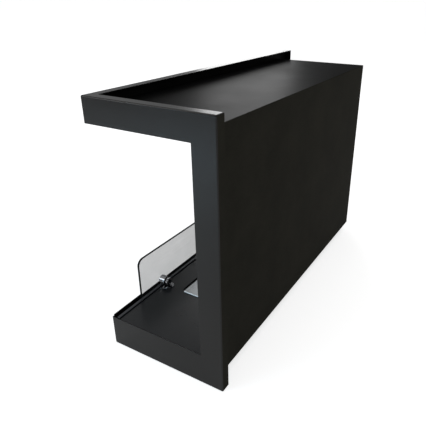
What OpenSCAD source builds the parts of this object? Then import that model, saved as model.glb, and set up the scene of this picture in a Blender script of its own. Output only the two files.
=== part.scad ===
// Corner fireplace insert for bio-ethanol, to be built into a niche.
// Sheet-steel firebox, open at the front and at the right end, with a flange frame round both openings.
// +Z is up, the front faces -Y and the open end faces +X. The origin is on the underside of the base pan.

/* [Flange frame] */
// Width over the flange
frame_w = 604; // [500:1:900]
// Depth over the flange
frame_d = 207; // [190:1:300]
// Height over the flange
frame_h = 400; // [320:1:600]
// Thickness of the flange sheet
face_t = 2; // [1:0.1:3]
// Depth of the folded edge round the flange
return_d = 15.5; // [8:0.5:20]
// Height of the top bars
top_bar_h = 36.5; // [30:0.5:60]
// Width of the rear post
rear_post_w = 36.5; // [28:0.5:50]
// Width of the left post
left_post_w = 38; // [36:0.5:60]
// Height of the side bottom bar, level with the floor
side_sill_h = 51.5; // [46:0.5:80]
// Height of the front bottom bar
front_sill_h = 53.5; // [52:0.5:82]
// How far the front bar's raised rim stops short of the corner
corner_relief = 4; // [3:0.5:8]

/* [Casing] */
// Thickness of the casing sheet
panel_t = 1.5; // [0.8:0.1:2.5]
// How far the flange stands above the top panel
top_reveal = 17; // [6:0.5:24]
// How far the flange hangs below the base pan
bottom_reveal = 17; // [6:0.5:20]
// How far the flange stands behind the back panel
rear_reveal = 12; // [4:0.5:16]
// How far the flange runs past the left end panel
left_reveal = 27; // [15:0.5:28]
// Diameter of the fixing holes in the base pan
fixing_hole_d = 6; // [4:0.5:8]
// Distance between the fixing holes along the burner
fixing_span_x = 260; // [120:1:300]
// Distance between the fixing holes across the burner
fixing_span_y = 40; // [20:1:50]

/* [Liner] */
// Thickness of the liner sheet
liner_t = 1.5; // [0.8:0.1:2]
// Diameter of the spacers behind the liner
spacer_d = 10; // [8:0.5:16]
// Distance from the liner's edge to the outer spacers
spacer_inset = 45; // [25:1:70]
// Diameter of the liner screws
liner_screw_d = 4; // [3:0.5:5]
// Diameter of the liner screw heads
liner_head_d = 8; // [6:0.5:10]
// Height of the liner screw heads
liner_head_h = 2.4; // [1.5:0.1:4]
// How far the liner screws reach into their spacers
liner_screw_bite = 5; // [3:0.5:6]

/* [Floor] */
// Thickness of the floor plate
floor_t = 2; // [1:0.1:3]
// Width of the bearers under the floor
bearer_w = 30; // [16:1:50]
// Thickness of the bearer sheet
bearer_t = 1.5; // [1:0.1:3]

/* [Glass screen] */
// Distance from each end of the hearth to the pane
glass_end_gap = 62; // [20:1:90]
// Thickness of the pane
glass_t = 4; // [4:0.5:6]
// Height of the pane above the floor
glass_rise = 71; // [50:1:160]
// Radius of the pane's upper corners
glass_corner_r = 12; // [4:1:30]
// Width of the slot that the pane stands in
slot_w = 7.5; // [7:0.1:10]
// Depth of the slot below the floor
slot_depth = 10; // [6:0.5:16]
// Thickness of the channel sheet
channel_t = 1.5; // [1:0.1:2.5]
// Width of the lip along the floor's front edge
lip_w = 5; // [3.5:0.1:8]
// Height of the lip above the floor
lip_t = 2; // [1:0.1:3]
// Thickness of the gasket under the pane
gasket_t = 2; // [1:0.1:3]
// Clearance on each side of the pane
glass_gap = 0.3; // [0.2:0.05:0.5]

/* [Glass clamps] */
// Diameter of the clamp blocks
clamp_d = 17; // [15:0.5:20]
// Height of the thumbscrew's axis above the floor
clamp_axis_h = 8.5; // [8.5:0.5:12]
// Distance from the pane's end to the clamp
clamp_inset = 50; // [20:1:90]
// Distance from the pane to the clamp block
clamp_gap = 1.75; // [1.2:0.05:2.2]
// Width of the clamp's foot
foot_w = 16; // [14:0.5:20]
// Length of the clamp's foot behind the lip
foot_l = 6; // [5:0.5:10]
// Height of the clamp's foot
foot_h = 7; // [6.5:0.1:8]
// Diameter of the clamp's round base
base_d = 17.5; // [14:0.5:20]
// Thickness of the clamp's round base
base_t = 1.5; // [1:0.1:1.5]
// Diameter of the thumbscrew
screw_d = 5; // [4:0.5:5]
// Pitch of the thumbscrew's thread
screw_pitch = 0.8; // [0.5:0.05:1]
// Turns from clamped to loose
screw_turns = 2; // [1:1:3]
// Diameter of the thumbscrew's head
head_d = 13; // [10:0.5:13]
// Length of the thumbscrew's head
head_l = 6; // [4:0.5:9]
// Gap between the clamp block and the screw's head
head_gap = 0.8; // [0.5:0.1:2]
// Number of flutes round the screw's head
head_flutes = 18; // [8:1:24]
// Diameter of the pressure pads
pad_d = 9; // [7:0.5:10]
// Thickness of the pressure pads
pad_t = 2.5; // [2.2:0.1:3.5]
// Diameter of the clamp's fixing screws
clamp_fix_d = 3; // [2:0.5:3]
// Distance between the two fixing screws of a clamp
clamp_fix_span = 11; // [9.5:0.5:12]

/* [Burner] */
// Length of the burner's top plate
burner_l = 348; // [330:1:370]
// Width of the burner's top plate
burner_w = 84; // [80:1:92]
// Distance from the front to the burner
burner_front_gap = 59; // [44:1:66]
// Thickness of the burner's top plate
burner_plate_t = 2.5; // [1.5:0.1:4]
// How far the top plate reaches past the tray
burner_rim = 8; // [5:0.5:10]
// Thickness of the tray sheet
tray_t = 1.2; // [0.8:0.1:2]
// Air gap under the tray
tray_gap = 4.5; // [3:0.5:8]
// Clearance between the tray and the floor
tray_play = 2; // [1:0.5:4]
// Width of the air slot in front of the burner
air_slot_w = 6.5; // [3:0.5:8]
// Height of the wick block
wick_h = 19; // [10:0.5:20]
// Clearance round the wick block
wick_play = 0.5; // [0.3:0.1:2]
// Thickness of the perforated sheet over the wick
mesh_t = 1; // [0.5:0.1:1.5]
// Diameter of the perforations
mesh_hole_d = 7; // [4:0.5:9]
// Length of the fire slot
fire_l = 135; // [100:1:140]
// Width of the fire slot
fire_w = 40; // [30:1:42]
// How far the lid laps over the fire slot
lid_lap = 8; // [5:0.5:8]
// Thickness of the lid
lid_t = 2; // [1.5:0.1:3]
// Clearance round the lid
lid_play = 0.3; // [0.2:0.05:0.5]
// Width of the lid guides
guide_w = 6; // [5:0.5:7]
// How far the guides reach over the lid
guide_lap = 3; // [2:0.5:4]
// Thickness of the guides' upper leaf
guide_leaf_t = 1.5; // [1:0.1:2.5]
// Length of the stop at each end of a guide
guide_stop_l = 3; // [2:0.5:5]
// Distance from the plate's closed end to the guides
guide_inset = 8; // [4:0.5:12]
// Height of the lid's knob
knob_h = 12; // [9:0.5:16]
// Largest radius of the lid's knob
knob_r = 6; // [4:0.5:9]
// Distance from the lid's end to its knob
knob_inset = 14; // [12:0.5:30]

/* [Hidden] */
$fn = 48;
thread_gap = 0.05;
hole_play = 0.25;
overcut = 1;

// Faces of the flange frame
right_x = frame_w / 2;
left_x = -frame_w / 2;
front_y = -frame_d / 2;
rear_y = frame_d / 2;
low_z = -bottom_reveal;
top_z = low_z + frame_h;
inner_right_x = right_x - face_t;
inner_front_y = front_y + face_t;

// Faces of the casing and of the firebox inside it
box_left_x = left_x + left_reveal;
box_rear_y = rear_y - rear_reveal;
box_top_z = top_z - top_reveal;
ceiling_z = top_z - top_bar_h;
hearth_rear_y = rear_y - rear_post_w;
hearth_left_x = left_x + left_post_w;
floor_z = low_z + side_sill_h;
front_sill_z = low_z + front_sill_h;

// Glass channel along the front
slot_rear_y = inner_front_y + slot_w;
floor_front_y = slot_rear_y + channel_t;
lip_rear_y = slot_rear_y + lip_w;
slot_z = floor_z - slot_depth;
glass_y = inner_front_y + slot_w / 2;
glass_rear_y = glass_y + glass_t / 2;
glass_right_x = right_x - glass_end_gap;
glass_left_x = hearth_left_x + glass_end_gap;
glass_l = glass_right_x - glass_left_x;
glass_z = slot_z + gasket_t;
gasket_wall = (slot_w - glass_t) / 2 - glass_gap;

// Clamps behind the glass
right_clamp_x = glass_right_x - clamp_inset;
left_clamp_x = glass_left_x + clamp_inset;
clamp_front_y = glass_rear_y + clamp_gap;
clamp_rear_y = lip_rear_y + foot_l;
base_y = clamp_rear_y + base_d / 4;
clamp_z = floor_z + clamp_axis_h;
pad_front_y = glass_rear_y + glass_gap;
pad_rear_y = pad_front_y + pad_t;
pad_travel = screw_pitch * screw_turns;
pad_pocket_y = pad_rear_y + pad_travel + hole_play;
nose_d = 3;
nose_l = 1.5;
clamp_fix_y = lip_rear_y + foot_l / 2;
clamp_fix_bite = 5;
clamp_fix_head_d = 5.5;
clamp_fix_head_h = 2;

// Burner let into the floor, halfway along the hearth
burner_x = (hearth_left_x + right_x) / 2;
burner_left_x = burner_x - burner_l / 2;
burner_right_x = burner_x + burner_l / 2;
burner_front_y = front_y + burner_front_gap;
burner_rear_y = burner_front_y + burner_w;
burner_y = (burner_front_y + burner_rear_y) / 2;
burner_top_z = floor_z + burner_plate_t;
tray_z = panel_t + tray_gap;
tray_l = burner_l - 2 * burner_rim;
tray_w = burner_w - 2 * burner_rim;
wick_l = tray_l - 2 * tray_t - 2 * wick_play;
wick_w = tray_w - 2 * tray_t - 2 * wick_play;
mesh_z = tray_z + tray_t + wick_h;
mesh_rows = 3;
mesh_columns = 18;
mesh_pitch_x = wick_l / mesh_columns;
mesh_pitch_y = wick_w / mesh_rows;

// Lid that slides over the fire slot
lid_l = fire_l + 2 * lid_lap;
lid_w = fire_w + 2 * lid_lap;
lid_left_x = burner_left_x + guide_inset + guide_stop_l + lid_play;
lid_travel = fire_l + lid_lap / 2;
lid_top_z = burner_top_z + lid_t;
fire_left_x = lid_left_x + lid_lap;
guide_l = lid_l + lid_travel + 2 * (guide_stop_l + lid_play);
guide_left_x = burner_left_x + guide_inset;
knob_x = lid_left_x + lid_l - knob_inset;

// Bearers behind the clamps' screws, halfway between the burner's cut-out and the ends of the firebox
bearer_front_y = clamp_fix_y + clamp_fix_head_d / 2 + hole_play;
cutout_l = tray_l + 2 * tray_play;
cutout_w = tray_w + 2 * tray_play;
right_bearer_x = (burner_x + cutout_l / 2 + inner_right_x) / 2;
left_bearer_x = (burner_x - cutout_l / 2 + hearth_left_x) / 2;

// Places of the liner's spacers
function spread(low, high, inset, count) =
  [for (i = [0 : count - 1]) low + inset + (high - low - 2 * inset) * i / (count - 1)];
spacer_xs = spread(hearth_left_x, inner_right_x, spacer_inset, 3);
spacer_ys = spread(inner_front_y, hearth_rear_y, spacer_inset, 2);
spacer_zs = spread(floor_z, ceiling_z, spacer_inset, 2);

black = "#26292c";
steel = "#9aa0a4";
bright = "#d5d9dc";
silicone = "#303234";
clear = [0.75, 0.8, 0.8, 0.35];
wick = "#d8d2c4";

// Box between two corners
module slab(low, high) {
  translate(low) cube(high - low);
}

// Round bar from one point, along +X, +Y or +Z
module rod_x(at, d, l) {
  translate(at) rotate([0, 90, 0]) cylinder(d = d, h = l);
}

module rod_y(at, d, l) {
  translate(at) rotate([-90, 0, 0]) cylinder(d = d, h = l);
}

module rod_z(at, d, l) {
  translate(at) cylinder(d = d, h = l);
}

// Plan of a front or side bar of depth d, mitred at the corner between the two openings
function front_plan(d) =
  [[left_x, front_y], [right_x, front_y], [right_x - d, front_y + d], [left_x, front_y + d]];
function side_plan(d) =
  [[right_x, front_y], [right_x, rear_y], [right_x - d, rear_y], [right_x - d, front_y + d]];

// Front bar: face, folded edge at fold_z and folded left end
module front_bar(z, h, fold_z) {
  translate([0, 0, z]) linear_extrude(h) polygon(front_plan(face_t));
  translate([0, 0, fold_z]) linear_extrude(face_t) polygon(front_plan(return_d));
  slab([left_x, front_y, z], [left_x + face_t, front_y + return_d, z + h]);
}

// Side bar: face, folded edge at fold_z and folded rear end
module side_bar(z, h, fold_z) {
  translate([0, 0, z]) linear_extrude(h) polygon(side_plan(face_t));
  translate([0, 0, fold_z]) linear_extrude(face_t) polygon(side_plan(return_d));
  slab([right_x - return_d, rear_y - face_t, z], [right_x, rear_y, z + h]);
}

module front_top_bar() {
  color(black) front_bar(ceiling_z, top_bar_h, top_z - face_t);
}

// Front bottom bar with a rim that stands above the floor, up to the corner's relief
module front_bottom_bar() {
  color(black) {
    front_bar(low_z, side_sill_h, low_z);
    slab([left_x, front_y, floor_z], [right_x - corner_relief, inner_front_y, front_sill_z]);
    slab([left_x, front_y, floor_z], [left_x + face_t, front_y + return_d, front_sill_z]);
  }
}

module side_top_bar() {
  color(black) side_bar(ceiling_z, top_bar_h, top_z - face_t);
}

module side_bottom_bar() {
  color(black) side_bar(low_z, side_sill_h, low_z);
}

module front_left_post() {
  color(black) {
    slab([left_x, front_y, front_sill_z], [hearth_left_x, inner_front_y, ceiling_z]);
    slab([left_x, front_y, front_sill_z], [left_x + face_t, front_y + return_d, ceiling_z]);
  }
}

module side_rear_post() {
  color(black) {
    slab([inner_right_x, hearth_rear_y, floor_z], [right_x, rear_y, ceiling_z]);
    slab([right_x - return_d, rear_y - face_t, floor_z], [right_x, rear_y, ceiling_z]);
  }
}

module back_panel() {
  color(black)
    slab([box_left_x, box_rear_y - panel_t, panel_t], [inner_right_x, box_rear_y, box_top_z - panel_t]);
}

module top_panel() {
  color(black)
    slab([box_left_x, inner_front_y, box_top_z - panel_t], [inner_right_x, box_rear_y, box_top_z]);
}

module left_end_panel() {
  color(black)
    slab([box_left_x, inner_front_y, panel_t],
         [box_left_x + panel_t, box_rear_y - panel_t, box_top_z - panel_t]);
}

// Base pan with four fixing holes that are reached once the burner is lifted out
module base_pan() {
  color(black) difference() {
    slab([box_left_x, inner_front_y, 0], [inner_right_x, box_rear_y, panel_t]);
    for (x = [-1, 1], y = [-1, 1])
      rod_z([burner_x + x * fixing_span_x / 2, burner_y + y * fixing_span_y / 2, -overcut],
            fixing_hole_d, panel_t + 2 * overcut);
  }
}

module ceiling_liner() {
  color(black) difference() {
    slab([hearth_left_x - liner_t, inner_front_y, ceiling_z],
         [inner_right_x, hearth_rear_y + liner_t, ceiling_z + liner_t]);
    for (x = spacer_xs, y = spacer_ys)
      rod_z([x, y, ceiling_z - overcut], liner_screw_d + 2 * hole_play, liner_t + 2 * overcut);
  }
}

module rear_liner() {
  color(black) difference() {
    slab([hearth_left_x, hearth_rear_y, floor_z], [inner_right_x, hearth_rear_y + liner_t, ceiling_z]);
    for (x = spacer_xs, z = spacer_zs)
      rod_y([x, hearth_rear_y - overcut, z], liner_screw_d + 2 * hole_play, liner_t + 2 * overcut);
  }
}

module left_liner() {
  color(black) difference() {
    slab([hearth_left_x - liner_t, inner_front_y, floor_z],
         [hearth_left_x, hearth_rear_y + liner_t, ceiling_z]);
    for (y = spacer_ys, z = spacer_zs)
      rod_x([hearth_left_x - liner_t - overcut, y, z], liner_screw_d + 2 * hole_play, liner_t + 2 * overcut);
  }
}

// Tapped spacer of length l along +Z
module spacer(l) {
  difference() {
    cylinder(d = spacer_d, h = l);
    translate([0, 0, -overcut]) cylinder(d = liner_screw_d + 2 * thread_gap, h = l + 2 * overcut);
  }
}

// Pan-head screw along +Z, with its head below z = 0
module liner_screw() {
  translate([0, 0, -liner_head_h]) cylinder(d = liner_head_d, h = liner_head_h);
  cylinder(d = liner_screw_d, h = liner_t + liner_screw_bite);
}

module ceiling_spacers() {
  color(steel) for (x = spacer_xs, y = spacer_ys)
    translate([x, y, ceiling_z + liner_t]) spacer(box_top_z - panel_t - ceiling_z - liner_t);
}

module rear_spacers() {
  color(steel) for (x = spacer_xs, z = spacer_zs)
    translate([x, hearth_rear_y + liner_t, z]) rotate([-90, 0, 0])
      spacer(box_rear_y - panel_t - hearth_rear_y - liner_t);
}

module left_spacers() {
  color(steel) for (y = spacer_ys, z = spacer_zs)
    translate([hearth_left_x - liner_t, y, z]) rotate([0, -90, 0])
      spacer(hearth_left_x - liner_t - box_left_x - panel_t);
}

module ceiling_screws() {
  color(black) for (x = spacer_xs, y = spacer_ys) translate([x, y, ceiling_z]) liner_screw();
}

module rear_screws() {
  color(black) for (x = spacer_xs, z = spacer_zs)
    translate([x, hearth_rear_y, z]) rotate([-90, 0, 0]) liner_screw();
}

module left_screws() {
  color(black) for (y = spacer_ys, z = spacer_zs)
    translate([hearth_left_x, y, z]) rotate([0, -90, 0]) liner_screw();
}

// Floor plate with the burner's cut-out, an air slot in front of it and the clamps' screw holes
module floor_plate() {
  color(black) difference() {
    slab([hearth_left_x - liner_t, floor_front_y, floor_z - floor_t],
         [inner_right_x, hearth_rear_y + liner_t, floor_z]);
    slab([burner_x - cutout_l / 2, burner_front_y - air_slot_w, floor_z - floor_t - overcut],
         [burner_x + cutout_l / 2, burner_y + cutout_w / 2, floor_z + overcut]);
    for (x = [right_clamp_x, left_clamp_x], side = [-1, 1])
      rod_z([x + side * clamp_fix_span / 2, clamp_fix_y, floor_z - floor_t - overcut],
            clamp_fix_d + 2 * hole_play, floor_t + 2 * overcut);
  }
}

// Folded channel that carries the floor on the base pan
module floor_bearer(x) {
  h = floor_z - floor_t - panel_t;
  color(black) translate([x - bearer_w / 2, 0, panel_t]) difference() {
    slab([0, bearer_front_y, 0], [bearer_w, hearth_rear_y + liner_t, h]);
    slab([bearer_t, bearer_front_y - overcut, bearer_t],
         [bearer_w + overcut, hearth_rear_y + liner_t + overcut, h - bearer_t]);
  }
}

module right_floor_bearer() {
  floor_bearer(right_bearer_x);
}

module left_floor_bearer() {
  floor_bearer(left_bearer_x);
}

// Channel behind the front bar: rear wall, lip over the floor's edge, and the shelf under the pane
module glass_channel() {
  color(black) {
    slab([hearth_left_x, slot_rear_y, panel_t], [inner_right_x, floor_front_y, floor_z + lip_t]);
    slab([hearth_left_x, slot_rear_y, floor_z], [inner_right_x, lip_rear_y, floor_z + lip_t]);
    slab([hearth_left_x, inner_front_y, slot_z - channel_t], [inner_right_x, floor_front_y, slot_z]);
  }
}

module glass_gasket() {
  color(silicone) {
    slab([glass_left_x, inner_front_y, slot_z], [glass_right_x, slot_rear_y, glass_z]);
    slab([glass_left_x, inner_front_y, slot_z], [glass_right_x, inner_front_y + gasket_wall, floor_z]);
    slab([glass_left_x, slot_rear_y - gasket_wall, slot_z], [glass_right_x, slot_rear_y, floor_z]);
  }
}

// Pane with rounded upper corners, drawn in the XZ plane
module glass_pane() {
  h = floor_z + glass_rise - glass_z;
  r = glass_corner_r;
  color(clear) translate([glass_left_x, glass_rear_y, glass_z]) rotate([90, 0, 0])
    linear_extrude(glass_t) union() {
      square([glass_l, h - r]);
      translate([r, 0]) square([glass_l - 2 * r, h]);
      for (x = [r, glass_l - r]) translate([x, h - r]) circle(r);
    }
}

// Round clamp block on a foot and a round base, bored for the thumbscrew and pocketed for its pad
module clamp_block(x) {
  color(bright) difference() {
    union() {
      intersection() {
        rod_y([x, clamp_front_y, clamp_z], clamp_d, clamp_rear_y - clamp_front_y);
        slab([x - clamp_d, clamp_front_y, floor_z + lip_t], [x + clamp_d, clamp_rear_y, clamp_z + clamp_d]);
      }
      slab([x - foot_w / 2, lip_rear_y, floor_z], [x + foot_w / 2, clamp_rear_y, floor_z + foot_h]);
      rod_z([x, base_y, floor_z], base_d, base_t);
    }
    rod_y([x, clamp_front_y - overcut, clamp_z], pad_d + 2 * hole_play, pad_pocket_y - clamp_front_y + overcut);
    rod_y([x, clamp_front_y, clamp_z], screw_d + 2 * thread_gap, clamp_rear_y - clamp_front_y + overcut);
    for (side = [-1, 1])
      rod_z([x + side * clamp_fix_span / 2, clamp_fix_y, floor_z - overcut],
            clamp_fix_d + 2 * thread_gap, clamp_fix_bite + 2 * hole_play + overcut);
  }
}

module right_clamp_block() {
  clamp_block(right_clamp_x);
}

module left_clamp_block() {
  clamp_block(left_clamp_x);
}

// Screws driven up through the floor into the clamps' feet
module clamp_fixing_screws() {
  color(steel) for (x = [right_clamp_x, left_clamp_x], side = [-1, 1])
    translate([x + side * clamp_fix_span / 2, clamp_fix_y, floor_z - floor_t]) {
      translate([0, 0, -clamp_fix_head_h]) cylinder(d = clamp_fix_head_d, h = clamp_fix_head_h);
      cylinder(d = clamp_fix_d, h = floor_t + clamp_fix_bite);
    }
}

// Soft pad that the thumbscrew presses on the pane
module clamp_pad(x) {
  color(silicone) difference() {
    rod_y([x, pad_front_y, clamp_z], pad_d, pad_t);
    rod_y([x, pad_rear_y - nose_l, clamp_z], nose_d + 2 * thread_gap, nose_l + overcut);
  }
}

module right_clamp_pad() {
  clamp_pad(right_clamp_x);
}

module left_clamp_pad() {
  clamp_pad(left_clamp_x);
}

// Thumbscrew with a fluted, chamfered head
module thumbscrew(x) {
  head_y = clamp_rear_y + head_gap;
  chamfer = 1;
  flute_d = 1.4;
  color(bright) {
    rod_y([x, pad_rear_y - nose_l, clamp_z], nose_d, nose_l);
    rod_y([x, pad_rear_y, clamp_z], screw_d, head_y - pad_rear_y);
    translate([x, head_y, clamp_z]) rotate([-90, 0, 0]) difference() {
      rotate_extrude() polygon([
        [0, 0], [head_d / 2 - chamfer, 0], [head_d / 2, chamfer],
        [head_d / 2, head_l - chamfer], [head_d / 2 - chamfer, head_l], [0, head_l]
      ]);
      for (i = [0 : head_flutes - 1]) rotate(i * 360 / head_flutes)
        translate([head_d / 2, 0, -overcut]) cylinder(d = flute_d, h = head_l + 2 * overcut);
    }
  }
}

module right_thumbscrew() {
  thumbscrew(right_clamp_x);
}

module left_thumbscrew() {
  thumbscrew(left_clamp_x);
}

module burner_top_plate() {
  color(steel) difference() {
    slab([burner_left_x, burner_front_y, floor_z], [burner_right_x, burner_rear_y, burner_top_z]);
    slab([fire_left_x, burner_y - fire_w / 2, floor_z - overcut],
         [fire_left_x + fire_l, burner_y + fire_w / 2, burner_top_z + overcut]);
  }
}

// Open tray that hangs under the top plate and holds the fuel
module burner_tray() {
  color(steel) difference() {
    slab([burner_x - tray_l / 2, burner_y - tray_w / 2, tray_z],
         [burner_x + tray_l / 2, burner_y + tray_w / 2, floor_z]);
    slab([burner_x - tray_l / 2 + tray_t, burner_y - tray_w / 2 + tray_t, tray_z + tray_t],
         [burner_x + tray_l / 2 - tray_t, burner_y + tray_w / 2 - tray_t, floor_z + overcut]);
  }
}

module wick_block() {
  color(wick)
    slab([burner_x - wick_l / 2, burner_y - wick_w / 2, tray_z + tray_t],
         [burner_x + wick_l / 2, burner_y + wick_w / 2, mesh_z]);
}

// Perforated sheet that keeps the wick down
module wick_cover() {
  color(steel) translate([burner_x - wick_l / 2, burner_y - wick_w / 2, mesh_z]) difference() {
    cube([wick_l, wick_w, mesh_t]);
    for (i = [0 : mesh_columns - 1], j = [0 : mesh_rows - 1])
      rod_z([(i + 0.5) * mesh_pitch_x, (j + 0.5) * mesh_pitch_y, -overcut], mesh_hole_d, mesh_t + 2 * overcut);
  }
}

// Lid guide along the front (side = -1) or rear (side = 1) edge of the lid, with a stop at each end
module lid_guide(side) {
  track_z = lid_top_z + lid_play;
  color(steel) translate([guide_left_x, burner_y, 0]) mirror([0, side < 0 ? 1 : 0, 0]) {
    edge_y = lid_w / 2 + lid_play;
    inner_y = lid_w / 2 - guide_lap;
    slab([0, edge_y, burner_top_z], [guide_l, edge_y + guide_w, track_z]);
    slab([0, inner_y, track_z], [guide_l, edge_y + guide_w, track_z + guide_leaf_t]);
    for (x = [0, guide_l - guide_stop_l])
      slab([x, inner_y, burner_top_z], [x + guide_stop_l, edge_y, track_z]);
  }
}

module front_lid_guide() {
  lid_guide(-1);
}

module rear_lid_guide() {
  lid_guide(1);
}

module burner_lid() {
  color(steel)
    slab([lid_left_x, burner_y - lid_w / 2, burner_top_z], [lid_left_x + lid_l, burner_y + lid_w / 2, lid_top_z]);
}

module lid_knob() {
  waist_r = knob_r / 2;
  cap_h = 3;
  color(bright) translate([knob_x, burner_y, lid_top_z]) rotate_extrude() polygon([
    [0, 0], [knob_r * 0.7, 0], [waist_r, cap_h], [waist_r, knob_h - 2 * cap_h],
    [knob_r, knob_h - cap_h], [knob_r, knob_h - 1], [knob_r - 1, knob_h], [0, knob_h]
  ]);
}

back_panel();
top_panel();
left_end_panel();
base_pan();
front_top_bar();
front_left_post();
front_bottom_bar();
side_top_bar();
side_rear_post();
side_bottom_bar();
ceiling_liner();
rear_liner();
left_liner();
ceiling_spacers();
rear_spacers();
left_spacers();
ceiling_screws();
rear_screws();
left_screws();
floor_plate();
right_floor_bearer();
left_floor_bearer();
glass_channel();
glass_gasket();
glass_pane();
right_clamp_block();
left_clamp_block();
clamp_fixing_screws();
right_clamp_pad();
left_clamp_pad();
right_thumbscrew();
left_thumbscrew();
burner_top_plate();
burner_tray();
wick_block();
wick_cover();
front_lid_guide();
rear_lid_guide();
burner_lid();
lid_knob();
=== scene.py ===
# Looks of the corner fireplace insert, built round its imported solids.
import itertools
import math

import bmesh
import bpy
from mathutils import Euler, Matrix, Vector


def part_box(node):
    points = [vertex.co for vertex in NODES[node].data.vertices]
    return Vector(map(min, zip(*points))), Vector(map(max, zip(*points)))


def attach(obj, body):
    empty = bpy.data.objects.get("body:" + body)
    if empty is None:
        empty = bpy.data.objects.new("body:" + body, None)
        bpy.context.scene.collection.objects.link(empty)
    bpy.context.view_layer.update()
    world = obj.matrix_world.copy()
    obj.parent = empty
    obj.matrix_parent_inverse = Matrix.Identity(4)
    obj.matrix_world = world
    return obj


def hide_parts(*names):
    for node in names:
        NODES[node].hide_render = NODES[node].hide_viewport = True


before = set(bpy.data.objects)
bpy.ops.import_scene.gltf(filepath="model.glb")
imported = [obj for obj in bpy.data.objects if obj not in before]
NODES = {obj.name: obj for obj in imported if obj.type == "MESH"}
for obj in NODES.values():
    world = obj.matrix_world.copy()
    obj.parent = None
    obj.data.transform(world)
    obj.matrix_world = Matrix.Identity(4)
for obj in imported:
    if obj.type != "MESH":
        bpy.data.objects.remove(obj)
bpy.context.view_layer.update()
MM = 0.001

# Camera, as the photograph was taken
CAMERA_PLACE = (0.70241, 0.36816, 0.50056)
CAMERA_TURN = (65.377, -0.255, 119.817)
CAMERA_LENS = 38.542
CAMERA_SHIFT = (-0.0775, -0.0241)
CAMERA_CLIP = (0.01, 100.0)

# Floor and world: glow of the floor, share of it in mirrored rays, and levels of the soft studio
STAGE_R = 40.0
STAGE_GREY = (0.8, 0.8, 0.8, 1.0)
STAGE_GLOW = 0.68
MIRRORED_SHARE = 0.3
STUDIO_TINT = (0.96, 0.97, 0.98, 1.0)
HORIZON_LEVEL = 0.03
ZENITH_LEVEL = 0.7
RISE_POWER = 1.5
FAR_WAY = (-0.5, -0.87, 0.0)
FAR_START = 0.7
FAR_LEVEL = 0.28
WHITE = (1.0, 1.0, 1.0, 1.0)

# Faces of the flange, casing and hearth, from the solids
FLANGE_LOW = Vector(map(min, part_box("front_bottom_bar")[0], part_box("side_bottom_bar")[0]))
FLANGE_HIGH = Vector(map(max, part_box("front_top_bar")[1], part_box("side_top_bar")[1]))
RETURN_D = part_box("front_top_bar")[1].y - FLANGE_LOW.y
CEILING_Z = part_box("side_top_bar")[0].z
FLOOR_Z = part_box("floor_plate")[1].z
FRONT_SILL_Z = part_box("front_bottom_bar")[1].z
HEARTH_LEFT_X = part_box("front_left_post")[1].x
HEARTH_REAR_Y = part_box("side_rear_post")[0].y

# Sheet metal of the flange and the casing
FACE_T = 2.0 * MM
FOLD_R = 1.9 * MM
RIM_R = 0.45 * MM
CORNER_RELIEF = 4.0 * MM
CASING_FOLD_R = 1.2 * MM
CASING_RIM_R = 0.3 * MM
TOP_BAND = 0.5 * MM

# Edges sharper than these are rounded, or stay sharp after rounding or turning
EDGE_ANGLE = math.radians(40.0)
ROUNDED_SHARP = math.radians(50.0)
TURNED_SHARP = math.radians(35.0)

# Least share of a face's normal along an axis that it faces, and the distance that counts as none
FACING = 0.9
FLAT_FACING = 0.99
CLOSE = 0.001 * MM

# Screws of the liner, with the way that their heads face
LINER_SCREWS = {"ceiling_screws": (0, 0, -1), "rear_screws": (0, -1, 0), "left_screws": (1, 0, 0)}
LINER_HEAD_D = 8.0 * MM
LINER_HEAD_H = 2.4 * MM
LINER_SOCKET = 2.9 * MM
LINER_SOCKET_DEPTH = 1.3 * MM
LINER_SHANK_D = 3.9 * MM
LINER_SHANK_L = 6.4 * MM
CUTTER = 100.0 * MM

# Thumbscrews of the clamps
THUMB_HEAD_L = 6.0 * MM
THUMB_SHANK_R = 2.5 * MM
THUMB_SIDES = 64
NOSE_R = 1.5 * MM
NOSE_L = 1.5 * MM
THREAD_START = 1.9 * MM
THREAD_STEP = 0.4 * MM
THREAD_DEPTH = 0.3 * MM
THREAD_RINGS = 22
KNURL_RIBS = 44
KNURL_INSET = 0.42 * MM
KNURL_SHIFT = 0.2 * MM
RIB_W = 0.8 * MM
RIB_MARGIN = 2.6 * MM

# Burner: rounding of its plate, and sides of the knob
PLATE_EDGE_R = 2.1 * MM
PLATE_RIM_R = 0.4 * MM
KNOB_SIDES = 48


# Building of node trees

def fill(tree, node, inputs):
    """Sets or links a node's inputs, each given by its name or number."""
    for name, value in inputs.items():
        if isinstance(value, bpy.types.NodeSocket):
            tree.links.new(value, node.inputs[name])
        else:
            node.inputs[name].default_value = value


def add(tree, kind, inputs=None, **settings):
    """New node in a tree, with its settings and inputs."""
    made = tree.nodes.new(kind)
    for name, value in settings.items():
        setattr(made, name, value)
    fill(tree, made, inputs or {})
    return made


def new_group(name, kind, inputs, outputs):
    """Node group with named sockets; returns the group, its input node and its output node."""
    group = bpy.data.node_groups.new(name, kind)
    for socket, socket_type, value in inputs:
        made = group.interface.new_socket(socket, in_out="INPUT", socket_type=socket_type)
        if value is not None:
            made.default_value = value
    for socket, socket_type in outputs:
        group.interface.new_socket(socket, in_out="OUTPUT", socket_type=socket_type)
    return group, add(group, "NodeGroupInput"), add(group, "NodeGroupOutput")


def new_effect(name, inputs, outputs):
    """Shader node group with number outputs."""
    return new_group(name, "ShaderNodeTree", inputs, [(output, "NodeSocketFloat") for output in outputs])


def math_node(tree, operation, a, b=0.0, clamp=False):
    return add(tree, "ShaderNodeMath", {0: a, 1: b}, operation=operation, use_clamp=clamp).outputs[0]


def scaled(tree, value, factor):
    return math_node(tree, "MULTIPLY", value, factor)


def summed(tree, a, b, clamp=False):
    return math_node(tree, "ADD", a, b, clamp)


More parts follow.
